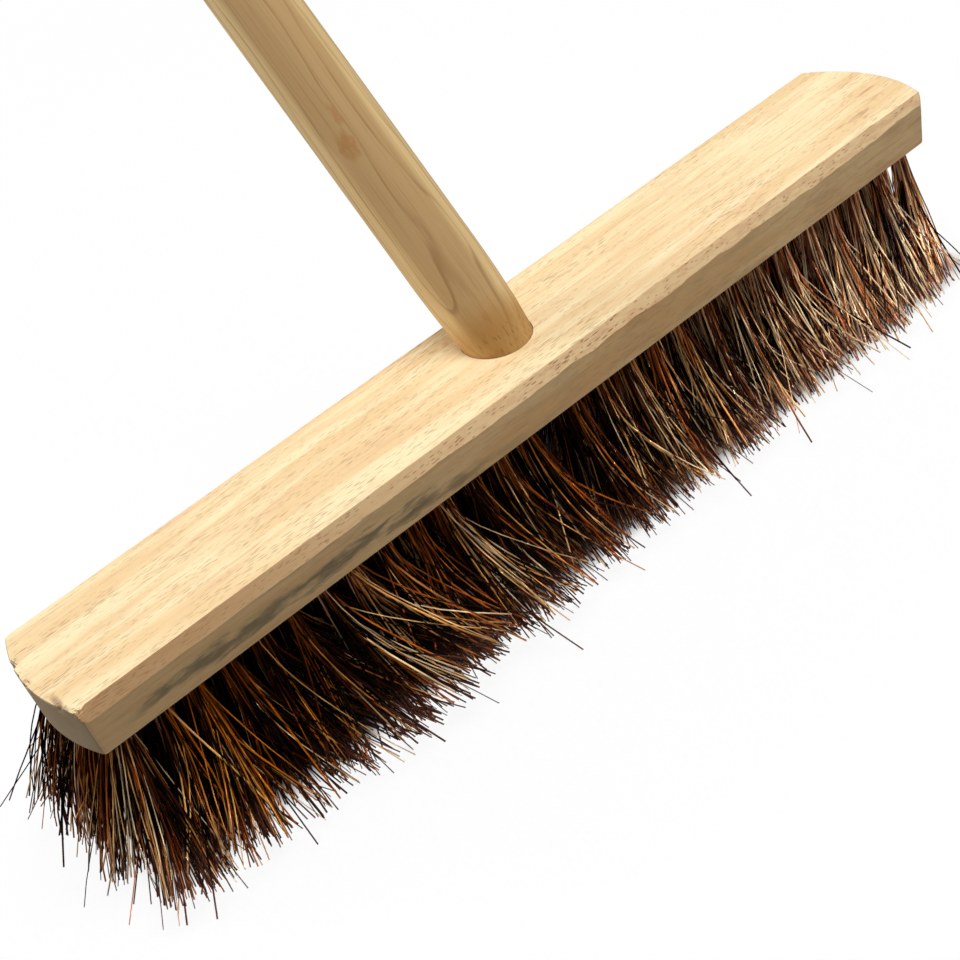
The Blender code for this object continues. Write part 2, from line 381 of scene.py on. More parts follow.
def stock_outline():
    """Points and outward normals, anticlockwise, of the bowed plank with round corners."""
    right, right_normals = end_outline(RIGHT_BOW)
    left, left_normals = end_outline(LEFT_BOW)
    left = -left
    steps = round(LENGTH / OUTLINE_STEP)
    back = np.linspace(right[-1], left[0], steps + 1)[1:-1]
    front = np.linspace(left[-1], right[0], steps + 1)[1:-1]
    points = np.concatenate([right, back, left, front])
    up = np.tile((0, 1), (len(back), 1))
    return points, np.concatenate([right_normals, up, -left_normals, -up])


outline, outward = stock_outline()
print(len(outline), "points round the stock")

# %% Rings to a closed mesh
ARRIS_DEPTH, ARRIS_HEIGHT = 0.0029, 0.0054
ARRIS_FOOT = THICKNESS - ARRIS_HEIGHT
# Rings lower than this, and further in on the top, keep their places.
PLAIN_SIDE, PLAIN_TOP = 0.0142, 0.0045
BORDER_RING = 0.0019
EDGE_RINGS, FOOT_RINGS, ARRIS_RINGS = 4, 5, 9
SIDE_START, SIDE_STEP = 0.004, 0.0025
TOP_INSETS = 0.0011, 0.0015, BORDER_RING, 0.0023
END_ONLY = 6


def loft(name, *stacks):
    """A mesh object of closed skins, one for each stack of rings, capped at both ends."""
    points, faces = [], []
    for rings in stacks:
        first, count = sum(map(len, points)), len(rings[0])
        top = first + count * (len(rings) - 1)
        for start in range(first, top, count):
            for i in range(count):
                after = (i + 1) % count
                faces.append((start + i, start + after, start + count + after, start + count + i))
        faces.append(tuple(reversed(range(first, first + count))))
        faces.append(tuple(range(top, top + count)))
        points += rings
    mesh = bpy.data.meshes.new(name)
    mesh.from_pydata(np.concatenate(points).tolist(), [], faces)
    return put_in_scene(name, mesh)


def stock_rings():
    """The outline stepped round the bottom edge, up the side and over the top edge."""
    quarter = np.linspace(0, math.pi / 2, EDGE_RINGS)
    steps = [(EASED_EDGE * (1 - math.sin(a)), EASED_EDGE * (1 - math.cos(a))) for a in quarter]
    rim = THICKNESS - EASED_EDGE
    steps += [(0, z) for z in np.arange(SIDE_START, PLAIN_SIDE, SIDE_STEP)]
    steps += [(0, z) for z in np.linspace(PLAIN_SIDE, ARRIS_FOOT, FOOT_RINGS)]
    steps += [(0, z) for z in np.linspace(ARRIS_FOOT, rim, ARRIS_RINGS)[1:-1]]
    steps += [(EASED_EDGE * (1 - math.cos(a)), rim + EASED_EDGE * math.sin(a)) for a in quarter]
    steps += [(inset, THICKNESS) for inset in TOP_INSETS]
    rings = []
    for inset, z in steps:
        ring = np.column_stack([outline - inset * outward, np.full(len(outline), z)])
        nearness = (2 * np.abs(ring[:, 0]) / LENGTH) ** END_ONLY
        on_right = ring[:, 0] > 0
        lean = OUT_OF_SQUARE * (z - SQUARE_LEVEL) * on_right
        skew = np.where(on_right, RIGHT_SKEW, LEFT_SKEW) * ring[:, 1]
        ring[:, 0] += (lean - skew) * nearness
        rings.append(ring)
    return rings


# %% The sanded arris and the chips
ARRIS_WAVE, ARRIS_FACET = 0.0012, 0.00013
WAVE_LENGTH, FACET_LENGTH = 0.012, 0.004
DEPTH_SHARE = 0.4
# Places along the stock, and the share of the wave and of the arris's width there.
WAVE_SHARES = (-0.1, 0.05), (0.4, 1)
WIDTH_SHARES = (0.19, 0.225), (1, 0.8)
# Place along the stock and across it, radius and depth of each chip. The last is the nick.
CHIPS = (
    (-0.2268, 0.0164, 0.0032, 0.0018),
    (-0.2283, 0.0005, 0.0030, 0.0020),
    (-0.2240, -0.0242, 0.0034, 0.0013),
    (-0.2276, 0.0085, 0.0018, 0.0009),
    (-0.2210, -0.0330, 0.0030, 0.0012),
    (0.1640, -0.0352, 0.0022, 0.0006),
)
# The first four chips are darkened: partly torn grain, partly painted shade in the dents.
SHADED_CHIPS = CHIPS[:4]
NICK_DROP = 0.7
CHIP_PULL = 0.6
CHIP_GRAIN, CHIP_FILL, CHIP_RAGGED = 0.0008, 0.7, 0.6


def draw_to_borders(point, depth, height):
    """Moves a point near the arris, so that rings lie on its two borders."""
    inset = point[1] + WIDTH / 2
    if point[2] == THICKNESS and inset < PLAIN_TOP:
        point[1] = np.interp(inset, (0, BORDER_RING, PLAIN_TOP), (0, depth, PLAIN_TOP)) - WIDTH / 2
    levels = (0, PLAIN_SIDE, ARRIS_FOOT, THICKNESS)
    drawn = np.interp(point[2], levels, (0, PLAIN_SIDE, THICKNESS - height, THICKNESS))
    point[2] += (drawn - point[2]) * np.interp(inset, (PLAIN_TOP, 2 * PLAIN_TOP), (1, 0))


def sand_arris(ring):
    for point in ring:
        x, y, z = point
        wave = ARRIS_WAVE * noise.noise((x / WAVE_LENGTH, 0.5, 0.5))
        wave += ARRIS_WAVE / 3 * noise.noise((x / WAVE_LENGTH * 3, 4.5, 0.5))
        wave *= np.interp(x, *WAVE_SHARES)
        narrower = np.interp(x, *WIDTH_SHARES)
        depth = (ARRIS_DEPTH + DEPTH_SHARE * wave) * narrower
        height = (ARRIS_HEIGHT + wave) * narrower
        draw_to_borders(point, depth, height)
        size = math.hypot(depth, height)
        normal_y, normal_z = -height / size, depth / size
        proud = normal_y * (point[1] + WIDTH / 2) + normal_z * (point[2] - THICKNESS + height)
        if proud > 0:
            facet = ARRIS_FACET * noise.noise((x / FACET_LENGTH, y / FACET_LENGTH, z / FACET_LENGTH))
            point[1] -= (proud - facet) * normal_y
            point[2] -= (proud - facet) * normal_z


def press_chips(ring):
    for x, y, radius, depth in CHIPS:
        height = THICKNESS if x < 0 else THICKNESS - ARRIS_HEIGHT * NICK_DROP
        away = np.linalg.norm(ring - (x, y, height), axis=1) / radius
        for i in np.nonzero(away < 1)[0]:
            rough = CHIP_FILL + CHIP_RAGGED * noise.noise(Vector(ring[i]) / CHIP_GRAIN)
            sink = depth * (1 - away[i] ** 2) * rough
            ring[i] += np.array((-math.copysign(CHIP_PULL, x), 0, -1)) * sink


rings = stock_rings()
for ring in rings:
    sand_arris(ring)
    press_chips(ring)
stock = loft("wood_stock", rings)
print("arris and", len(CHIPS), "chips on", len(rings), "rings")

# %% [markdown]
# ### Holes
#
# The handle's foot sits in a tapered socket that is bored leaning back, and each tuft in
# a blind hole of its own. The socket has to be real, because the handle can be pulled
# out of it. Booleans cut them from the plank, and the result is kept as a plain mesh.

# %% Where the holes are
HANDLE_LEAN = math.radians(34)
SOCKET_POINT = Vector((0.007, 0.004, 0.022))
FOOT_DEPTH, FOOT_DIAMETER = 0.013, 0.0266
SHOULDER_PLACE, SHOULDER_DIAMETER = 0.009, 0.0315
FIT_GAP = 0.0003
SOCKET_SIDES, SOCKET_CUT_RINGS, SOCKET_CUT_TOP = 64, 4, 0.03
TUFT_HOLE_RADIUS, TUFT_HOLE_DEPTH = 0.0037, 0.010
TUFT_HOLE_SIDES, DRILL_START = 12, -0.002
COLUMNS_EACH_SIDE = 14
MIDDLE_PITCH, LAST_COLUMN = 0.0248, 0.210
ROWS = (-0.027, -0.0135, 0, 0.0135, 0.027)
# The socket takes the room of two tufts in the first column right of the middle.
NO_TUFT = {(14, 2), (14, 3)}

half_columns = np.linspace(MIDDLE_PITCH / 2, LAST_COLUMN, COLUMNS_EACH_SIDE)
COLUMNS = [float(x) for x in (*-half_columns[::-1], *half_columns)]
LAYOUT = [
    (x, [y for r, y in enumerate(ROWS) if (c, r) not in NO_TUFT]) for c, x in enumerate(COLUMNS)
]
print(len(LAYOUT), "columns,", sum(len(rows) for _, rows in LAYOUT), "tufts")


# %% Cut the holes
def foot_radius(s):
    """Radius of the foot's cone at s along the handle from the stock's top."""
    taper = (SHOULDER_DIAMETER - FOOT_DIAMETER) / 2 / (FOOT_DEPTH + SHOULDER_PLACE)
    return FOOT_DIAMETER / 2 + taper * (s + FOOT_DEPTH)


def circle(radius, sides, z, x=0, y=0):
    angles = np.linspace(0, math.tau, sides, endpoint=False)
    level = np.full(sides, z)
    return np.column_stack([x + radius * np.cos(angles), y + radius * np.sin(angles), level])


HANDLE_FRAME = Matrix.Translation(SOCKET_POINT) @ Matrix.Rotation(-HANDLE_LEAN, 4, "X")
levels = np.linspace(-FOOT_DEPTH - FIT_GAP, SOCKET_CUT_TOP, SOCKET_CUT_RINGS)
socket_rings = [circle(foot_radius(s) + FIT_GAP, SOCKET_SIDES, s) for s in levels]
socket_cutter = loft("socket_cutter", socket_rings)
socket_cutter.data.transform(HANDLE_FRAME)
bits = [
    [circle(TUFT_HOLE_RADIUS, TUFT_HOLE_SIDES, z, x, y) for z in (DRILL_START, TUFT_HOLE_DEPTH)]
    for x, rows in LAYOUT
    for y in rows
]
cutters = [socket_cutter, loft("tuft_cutter", *bits)]


def settle(piece):
    """Turns what the modifiers make into the piece's own plain mesh."""
    evaluated = piece.evaluated_get(bpy.context.evaluated_depsgraph_get())
    mesh = bpy.data.meshes.new_from_object(evaluated)
    piece.modifiers.clear()
    piece.data = mesh
    return mesh


for cutter in cutters:
    cut = stock.modifiers.new(cutter.name, "BOOLEAN")
    cut.operation, cut.solver, cut.object = "DIFFERENCE", "EXACT", cutter
mesh = settle(stock)
for cutter in cutters:
    bpy.data.objects.remove(cutter)
print("stock has", len(mesh.polygons), "faces")

# %% [markdown]
# ### Which face is which
#
# The arris, the long sides and the ends take the light and the dirt differently, and the
# end grain is darker. The long sides carry painted shade, and the holes are darkened with
# painted shade. Each face gets four numbers that say which of these it is. They live in the
# mesh, so the material can read them wherever the head goes.

# %% Mark the faces
EDGE_BAND, END_BAND, SKIN = 0.004, 0.012, 0.0001


def smooth(mesh, degrees):
    """Smooth faces, with a sharp edge where two meet at more than this angle."""
    mesh.shade_smooth()
    mesh.set_sharp_from_angle(angle=math.radians(degrees))


def store(mesh, name, values, kind="FLOAT", domain="POINT"):
    """Keeps a number or a vector for each face or point of a mesh, under a name."""
    field = "vector" if kind == "FLOAT_VECTOR" else "value"
    mesh.attributes.new(name, kind, domain).data.foreach_set(field, np.ravel(values))


smooth(mesh, 13)
facing = np.array([p.normal for p in mesh.polygons])
centres = np.array([p.center for p in mesh.polygons])
along, across, height = np.abs(centres[:, 0]), np.abs(centres[:, 1]), centres[:, 2]
up = facing[:, 2]
on_front = centres[:, 1] < -WIDTH / 2 + EDGE_BAND
in_hole = (across < WIDTH / 2 - EDGE_BAND) & (along < LENGTH / 2 - END_BAND)
in_hole &= (height < THICKNESS - SKIN) & (height > SKIN)
marks = {
    "arris": on_front & (up > 0.2) & (up < 0.9),
    "side": (np.abs(facing[:, 1]) > 0.7) & (up <= 0.2) & ~in_hole,
    "end": (np.abs(facing[:, 0]) > 0.6) & ~in_hole,
    "hole": in_hole,
}
for name, values in marks.items():
    store(mesh, name, values.astype(float), domain="FACE")
    print(name, int(values.sum()), "faces")

# %% [markdown]
# ### The stock's wood
#
# Bare rubberwood: cream and straw bands that run along the plank, a finer streak in them,
# and many short dark pores, each a long thin dash. Noise that is squeezed across the grain
# gives bands and streaks. Voronoi cells, stretched to the shape of a dash, give the pores,
# and a soft noise says where they lie thick. The left of the front has a grey stain.


# %% Dashes along the grain
def to_nearest(cells):
    """Distance to the nearest of many scattered points."""
    return cells.node("ShaderNodeTexVoronoi", None, {"Vector": cells, "Scale": 1}, "Distance")


def dashes(place, length, width, fullness, seed):
    """A mask of short dashes, one in some of the cells of a stretched pattern."""
    moved = place + (seed, seed * 0.7, seed * 0.3)
    near = to_nearest(stretched(moved, length, width, width))
    return ease(near, fullness * 0.5, fullness, 1, 0)


# %% The patterns in the plank
GRAIN_SWAY, PORE_SWAY = (0.002, 0.003, 0.003), (0.001, 0.0007, 0.0007)
PORE_SIZE, LONG_PORE_SIZE = (0.0070, 0.00070), (0.0140, 0.0011)


class Plank:
    """The places, marks and patterns that the layers of the stock's colour read."""

    def __init__(self, wire):
        self.place = wire.node("ShaderNodeTexCoord", out="Object")
        self.x, self.y, self.z = self.place.parts()
        self.arris, self.side, self.end, self.hole = [
            wire.node("ShaderNodeAttribute", {"attribute_name": name}, out="Fac") for name in marks
        ]
        drift = sway(self.place, (0.05, 0.012, 0.012))
        bent = self.place + drift * GRAIN_SWAY
        self.bands = grain(bent, (0.13, 0.011, 0.011), 3)
        self.streaks = grain(bent, (0.028, 0.0016, 0.0016), 3, 0.6)
        self.fibres = grain(bent, (0.009, 0.00045, 0.00045), 2, 0.6)
        self.patches = grain(self.place, (0.035, 0.009, 0.009))
        straight = self.place + drift * PORE_SWAY
        self.thick = ease(grain(self.place, (0.07, 0.014, 0.014)), 0.36, 0.66, 0.16, 0.36)
        pores = dashes(straight, *PORE_SIZE, self.thick, 0.0)
        self.pore = pores.at_least(dashes(straight, *LONG_PORE_SIZE, self.thick * 0.75, 0.4))


# %% The bare wood
CREAM, STRAW, STREAK = paint(255, 235, 189), paint(243, 210, 158), paint(231, 193, 147)
PATCH, FINE_LINE, PORE = paint(236, 194, 150), paint(214, 170, 122), paint(160, 116, 72)


def bare_wood(plank):
    """Cream and straw bands, then finer and finer marks, and the pores on top."""
    return coats(
        blend(ease(plank.bands, 0.36, 0.64), CREAM, STRAW),
        (ease(plank.streaks, 0.48, 0.72) * 0.7, STREAK),
        (ease(plank.patches, 0.54, 0.74) * 0.45, PATCH),
        (ease(plank.fibres, 0.5, 0.75) * 0.28, FINE_LINE),
        (plank.pore * (0.6 - plank.side * 0.35), PORE),
    )


# %% The sanded arris's colour
ARRIS_LEFT, ARRIS_RIGHT = paint(194, 146, 96), paint(255, 219, 164)
BLUSH, TICK = paint(236, 174, 130), paint(146, 96, 62)
TICK_SIZE, CROSSED = (0.0090, 0.00085), (0, 0.12, 0.12)


def sanded_arris(plank, colour):
    """Browner at the left, pinker at the right, and ticked where it crosses the grain."""
    x = plank.x
    blush = ease(grain(plank.place, (0.009, 0.0016, 0.0016), 3, 0.6), 0.42, 0.60)
    tan = blend(ease(x, -0.2, 0.0), ARRIS_LEFT, ARRIS_RIGHT)
    tan = blend(blush * ease(x, -0.2, 0.05, 0.1, 0.55), tan, BLUSH)
    ticks = dashes(turned(plank.place, CROSSED), *TICK_SIZE, plank.thick + 0.06, 0.9)
    ticks = ticks * plank.arris * ease(x, -0.2, 0, 0.35, 0.7)
    return coats(colour, (plank.arris * 0.85, tan), (ticks, TICK))


# %% The stained front and the sides' painted shade
# Painted shade for the long sides and, deeper, for the left of the front.
SIDE_PAINTED_SHADE, FRONT_PAINTED_SHADE = paint(250, 232, 214), paint(190, 152, 104)
DULL_TAN, STAIN_GREY = paint(190, 162, 116), paint(98, 94, 74)
# The stain runs level, and dips between two places along the stock.
STAIN_LEVEL, STAIN_DIPPED, STAIN_DIP = 0.0078, 0.0014, (-0.095, -0.02)
STAIN_BREADTH, STAIN_RAGGED = 0.0040, 0.012


def shaded_and_stained_front(plank, colour):
    """Painted shade on the sides, deeper on the front's left, and a grey-green stain fading by the
    middle.
    """
    place, x = plank.place, plank.x
    # The long sides are darkened by painted shade.
    colour = blend(plank.side, colour, SIDE_PAINTED_SHADE, "MULTIPLY")
    middle = ease(x, *STAIN_DIP, STAIN_LEVEL, STAIN_DIPPED)
    ragged = (grain(place, (0.022, 0.003, 0.003), 4, 0.65) - 0.5) * STAIN_RAGGED
    across = (plank.z - middle + ragged) / STAIN_BREADTH
    mottled = ease(grain(place, (0.018, 0.004, 0.004), 3, 0.6), 0.30, 0.56)
    stain = ease(across * across, 0, 1, 1, 0) * mottled * ease(x, -0.07, -0.015, 1, 0.3)
    stain = stain * ease(x, -0.215, -0.19) * ease(x, -0.01, 0.02, 1, 0)
    front = plank.side * ease(plank.y, 0, 0.001, 1, 0)
    # Deeper painted shade on the front, towards the left.
    tan = front * ease(x, -0.2, 0.04, 0.55, 0)
    dull = front * ease(grain(place, (0.03, 0.006, 0.006), 3, 0.6), 0.45, 0.7)
    return coats(colour, (tan, FRONT_PAINTED_SHADE), (dull * 0.35, DULL_TAN), (front * stain * 0.75, STAIN_GREY))


# %% Ends, torn places, smudges, and painted shade and highlight
END_GRAIN, TORN, SMUDGE = paint(145, 124, 96), paint(120, 80, 46), paint(198, 150, 112)
CHIP_GRAIN_AND_SHADE, PAINTED_EDGE_HIGHLIGHT, PAINTED_HOLE_SHADE = paint(112, 74, 42), paint(250, 226, 180), paint(130, 92, 58)
TORN_EDGE, TORN_EDGE_SIZE = (-0.2238, -0.0235, THICKNESS), (0.0022, 0.0090, 0.0014)
SMUDGES = (0.211, -0.016, THICKNESS), (0.199, -0.021, THICKNESS), (0.217, -0.009, THICKNESS)
SMUDGE_SIZE = (0.0065, 0.0022, 0.004)
CHIP_SHIFT, CHIP_SPREAD = 0.0004, (0.36, 0.5, 0.8)


def marked_places(plank, colour):
    place = plank.place
    torn_edge = spot(place, TORN_EDGE, TORN_EDGE_SIZE)
    colour = coats(colour, (plank.end * 0.85, END_GRAIN), (torn_edge * plank.fibres * 1.2, TORN))
    for smudge in SMUDGES:
        dark = spot(place, smudge, SMUDGE_SIZE) * ease(plank.streaks, 0.4, 0.6)
        colour = blend(dark * 0.6, colour, SMUDGE)
    # Chip dents darkened: partly torn grain, partly painted shade.
    for x, y, radius, depth in SHADED_CHIPS:
        centre = (x - CHIP_SHIFT, y, THICKNESS - depth / 2)
        size = [share * reach for share, reach in zip(CHIP_SPREAD, (radius, radius, depth))]
        colour = blend(spot(place, centre, size) * 0.85, colour, CHIP_GRAIN_AND_SHADE)
    # A painted highlight along the eased bottom edge of the sides.
    edge_highlight = plank.side * ease(plank.z, 0.0006, 0.0012, 0.45, 0)
    # The hole walls are darkened with painted shade.
    return coats(colour, (edge_highlight, PAINTED_EDGE_HIGHLIGHT), (plank.hole * 0.7, PAINTED_HOLE_SHADE))


# %% Stock wood material
def make_stock_wood():
    material, wire, surface = new_material("stock_wood")
    plank = Plank(wire)
    colour = bare_wood(plank)
    for layer in (sanded_arris, shaded_and_stained_front, marked_places):
        colour = layer(plank, colour)
    rough = 0.56 + (plank.streaks - 0.5) * 0.25 + plank.pore * 0.15 + plank.end * 0.2
    relief = plank.fibres * 0.5 + plank.streaks * 0.4 - plank.pore * 1.6
    bump = wire.node("ShaderNodeBump", None, {"Strength": 0.35, "Distance": 0.00018, "Height": relief})
    feed(surface, Base_Color=colour, Roughness=rough, Normal=bump, Specular_IOR_Level=0.35)
    return material


stock.data.materials.clear()
stock.data.materials.append(make_stock_wood())
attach(stock, "head")
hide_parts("stock")
print("stock dressed")

# %% [markdown]
# ## The handle
#
# The handle is one long dowel, whittled to a blunt cone at its foot and domed at its top.
# It is lofted straight up, a hair out of true as turned wood is, and its mesh is then
# leaned into the socket. Its material reads the same lean backwards through a Mapping
# node, so that the growth lines run true along the dowel.

# %% The handle's mesh
HANDLE_LENGTH, HANDLE_DIAMETER = 1.2, 0.0335
TAPER_PLACE, FOOT_CHAMFER, DOME_HEIGHT = 0.04, 0.001, 0.009
HANDLE_SIDES = 72
FOOT_STEPS, TAPER_STEPS, SHAFT_STEPS, DOME_STEPS = 12, 8, 90, 12
OUT_OF_TRUE, WHITTLE = 0.00012, 0.00022
TRUE_BELOW = 0.0005
LUMPS_A_METRE = (90, 90, 14)


def handle_profile():
    """Pairs of place along the handle and radius, foot to top."""
    pairs = [(-FOOT_DEPTH, FOOT_DIAMETER / 2 - FOOT_CHAMFER)]
    foot = np.linspace(FOOT_CHAMFER - FOOT_DEPTH, SHOULDER_PLACE, FOOT_STEPS)
    pairs += [(s, foot_radius(s)) for s in foot]
    for share in np.linspace(0.1, 1, TAPER_STEPS):
        s = SHOULDER_PLACE + (TAPER_PLACE - SHOULDER_PLACE) * share
        rise = math.sin(share * math.pi / 2)
        pairs.append((s, (SHOULDER_DIAMETER + (HANDLE_DIAMETER - SHOULDER_DIAMETER) * rise) / 2))
    shoulder = HANDLE_LENGTH - FOOT_DEPTH - DOME_HEIGHT
    shaft = np.linspace(TAPER_PLACE, shoulder, SHAFT_STEPS)[1:]
    pairs += [(s, HANDLE_DIAMETER / 2) for s in shaft]
    for a in np.linspace(0, math.pi / 2, DOME_STEPS, endpoint=False)[1:]:
        pairs.append((shoulder + DOME_HEIGHT * math.sin(a), HANDLE_DIAMETER / 2 * math.cos(a)))
    return pairs


def handle_ring(s, radius):
    ring = circle(radius, HANDLE_SIDES, s)
    size = WHITTLE if s < TAPER_PLACE / 2 else OUT_OF_TRUE
    if s < TRUE_BELOW or radius < HANDLE_DIAMETER / 3:
        return ring
    for point in ring:
        point[:2] *= 1 + size / radius * noise.noise(Vector(point * LUMPS_A_METRE))
    return ring


handle = loft("wood_handle", [handle_ring(s, radius) for s, radius in handle_profile()])
handle.data.transform(HANDLE_FRAME)
smooth(handle.data, 35)
print("handle has", len(handle.data.polygons), "faces")

# %% [markdown]
# ### The handle's wood
#
# A dowel is cut from a plank of pine, so its surface slices through growth rings whose
# heart lies somewhere beside it. Distance from that heart, bent by noise, gives brown
# lines that wander up the dowel. A knot and a small rusty spot are blended in where they
# are, and the whittled foot is darker and ticked where the knife crossed the grain.

# %% Handle wood material
HEART = (0.019, 0.034, 0)
RING_WIDTH = 0.0037
# The side facing this way is darker flat grain; the round sides beside it are paler, partly edge grain,
# partly painted highlight.
FLAT_SIDE = (-0.391, -0.920, 0)
KNOT, KNOT_SIZE = (-0.0096, -0.0137, 0.098), (0.0042, 0.0042, 0.0075)
KNOT_STREAK, KNOT_STREAK_SIZE = (-0.0062, -0.0155, 0.1100), (0.0015, 0.0015, 0.0070)
RUST_SPOT, RUST_SIZE = (-0.0052, -0.0159, 0.0085), (0.0022, 0.0022, 0.0055)
ROUND_SIDE_GRAIN_AND_HIGHLIGHT, FLAT_SIDE_WOOD = paint(240, 208, 150), paint(202, 165, 114)
LATE_WOOD, RING_LINE, BROWN_STREAK = paint(188, 146, 94), paint(146, 102, 58), paint(170, 128, 80)
KNOT_WOOD, RUST = paint(184, 124, 68), paint(188, 120, 68)
FOOT_WOOD, FOOT_TICK = paint(182, 127, 54), paint(118, 76, 36)
KNIFE_SIZE, KNIFE_TURN = (0.0009, 0.0009, 0.0130), (0.1, 0.06, 0)
WOBBLE, RING_SWAY = 0.007, (0.014, 0.014, 0)


def growth_rings(place, knot):
    """The dark late wood of each ring, and the thin line that ends it."""
    pushed = place + sway(place, (0.022, 0.022, 0.13)) * RING_SWAY - HEART
    ring = (pushed * (1, 1, 0)).length() / RING_WIDTH + knot * 0.2
    wave = ring.maths("FRACT", ring)
    ring_end = ease(wave, 0.94, 1.0, 1, 0)
    return ease(wave, 0.35, 0.93) * ring_end, ease(wave, 0.82, 0.93) * ring_end


def make_handle_wood():
    material, wire, surface = new_material("handle_wood")
    leaning = wire.node("ShaderNodeTexCoord", out="Object")
    lean = {"Vector": leaning, "Location": SOCKET_POINT, "Rotation": (-HANDLE_LEAN, 0, 0)}
    place = wire.node("ShaderNodeMapping", {"vector_type": "TEXTURE"}, lean)
    s = place.parts()[2]
    shaken = place + sway(place, (0.0035, 0.0035, 0.008), 3, 0.6).scaled(WOBBLE)
    knot, rust = spot(shaken, KNOT, KNOT_SIZE), spot(shaken, RUST_SPOT, RUST_SIZE)
    late, line = growth_rings(place, knot)
    streaks = grain(place, (0.0008, 0.0008, 0.05), 3, 0.6)
    # Paler round sides: partly edge grain, partly a painted highlight.
    facing = place.maths("DOT_PRODUCT", place, FLAT_SIDE).also("Value") * (2 / HANDLE_DIAMETER)
    soft = grain(place, (0.012, 0.012, 0.16)) - 0.5
    flat_side = ease(facing + soft * 0.3, 0.60, 0.86)

    faint = ease(grain(place, (0.008, 0.008, 0.03)), 0.35, 0.65, 0.2, 0.5)
    blotchy = ease(grain(place, (0.0014, 0.0014, 0.005), 3, 0.6), 0.2, 0.5)
    knot_streak = spot(shaken, KNOT_STREAK, KNOT_STREAK_SIZE)
    foot = ease(s, 0.002, 0.020, 1, 0)
    near = to_nearest(stretched(turned(place, KNIFE_TURN), *KNIFE_SIZE))
    ticks = ease(near, 0.16, 0.34, 1, 0) * ease(s, 0.0, 0.0055, 1, 0)
    colour = coats(
        blend(flat_side, ROUND_SIDE_GRAIN_AND_HIGHLIGHT, FLAT_SIDE_WOOD),
        (late * 0.18, LATE_WOOD),
        (line * faint, RING_LINE),
        (ease(streaks, 0.48, 0.72) * 0.36, BROWN_STREAK),
        (knot * blotchy * 0.6, KNOT_WOOD),
        ((rust * 0.6).at_least(knot_streak * 0.45), RUST),
        (foot * 0.65, FOOT_WOOD),
        (ticks * 0.5, FOOT_TICK),
    )
    rough = 0.5 + (streaks - 0.5) * 0.2 + foot * 0.12
    relief = streaks * 0.6 - line * 0.5 - ticks
    bump = wire.node("ShaderNodeBump", None, {"Strength": 0.3, "Distance": 0.00015, "Height": relief})
    feed(surface, Base_Color=colour, Roughness=rough, Normal=bump, Specular_IOR_Level=0.2)
    return material


handle.data.materials.append(make_handle_wood())
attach(handle, "handle")
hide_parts("handle")
print("handle dressed")

# %% [markdown]
# ## The fibre
#
# Each tuft is 86 or more split palm fibres, folded and driven into a hole. They leave it
# as a tight bunch, fan out, and bend outwards more the further they are from the wood,
# since the brush is worn. Thousands of hairs that follow one rule are what Geometry Nodes
# are for. The tree takes points, one for each tuft, and a place where the tuft's tips
# stand. It copies each point once for each fibre, bends a line for it and gives it a skin.

# %% The inputs of the fibre tree
FIBRE_INPUTS = {
    "Tufts": "Geometry",
    "Hole radius": 0.0030,
    "Tip fan": 0.0050,
    "Crossing": 0.0130,
    "Frizz": 0.0035,
    "Fibre length": 0.0690,
    "Uneven trim": 0.12,
    "Stray reach": 0.020,
    "Kink reach": 0.050,
    "Wander": 0.0050,
    "Sweep brightness": 1.0,
    "Thinnest": 0.00045,
    "Thickest": 0.00100,
    "Lowest tip": (-0.262, -0.084, 0),
    "Highest tip": (0.2255, 0.068, 0),
    "Floor": cad_low.z,
    "Rooted": 0.006,
    "Held share": 0.08,
    "Points along": 9,
    "Seed": 1,
    "Finish": "Material",
}
KINDS = {float: "Float", int: "Int", tuple: "Vector"}


class Fields:
    """The parts of the fibre tree that are used again and again."""

    def __init__(self, tree, given):
        self.wire, self.given = Wire(tree), given

    def draw(self, turn, low=0.0, high=1.0, bunch=1):
        """A number of its own for every fibre, or for each bunch of so many neighbours."""
        each = self.wire.node("GeometryNodeInputIndex") / bunch
        each = each.maths("FLOOR", each)
        seed = self.given["Seed"] * 31 + turn
        sockets = {"Min_001": low, "Max_001": high, "ID": each, "Seed": seed}
        return self.wire.node("FunctionNodeRandomValue", None, sockets, "Value_001")

    def keep(self, geometry, name, value, kind="FLOAT", domain="POINT"):
        settings = {"data_type": kind, "domain": domain}
        sockets = {"Geometry": geometry, "Name": name, "Value": value}
        return self.wire.node("GeometryNodeStoreNamedAttribute", settings, sockets)

    def read(self, name, kind="FLOAT"):
        return self.wire.node("GeometryNodeInputNamedAttribute", {"data_type": kind}, {"Name": name})

    def arrow(self, name):
        return self.read(name, "FLOAT_VECTOR")

    def vector(self, x, y, z=0.0):
        return self.wire.node("ShaderNodeCombineXYZ", None, {"X": x, "Y": y, "Z": z})

    def way(self, turn, bunch=1):
        """A level arrow of length one, some way round the compass."""
        angle = self.draw(turn, 0, math.tau, bunch)
        return self.vector(angle.maths("COSINE", angle), angle.maths("SINE", angle))


print("the fibre tree has", len(FIBRE_INPUTS), "inputs")

# %% Copy each tuft's point once for each fibre
BUNCH, BUNCH_TONE = 9, 0.3
# High powers of an even draw leave most fibres alone and send a few a long way.
STRAY_POWER, KINK_POWER = 14, 16
BEND_SPREAD, KINK_PLACES = (0.7, 1.4), (0.25, 0.75)
BOW_REACH = 0.003
SWEEP_SPREAD, SWEEP_LONGER = 0.3, 0.22
MOST_SHAKES = 900


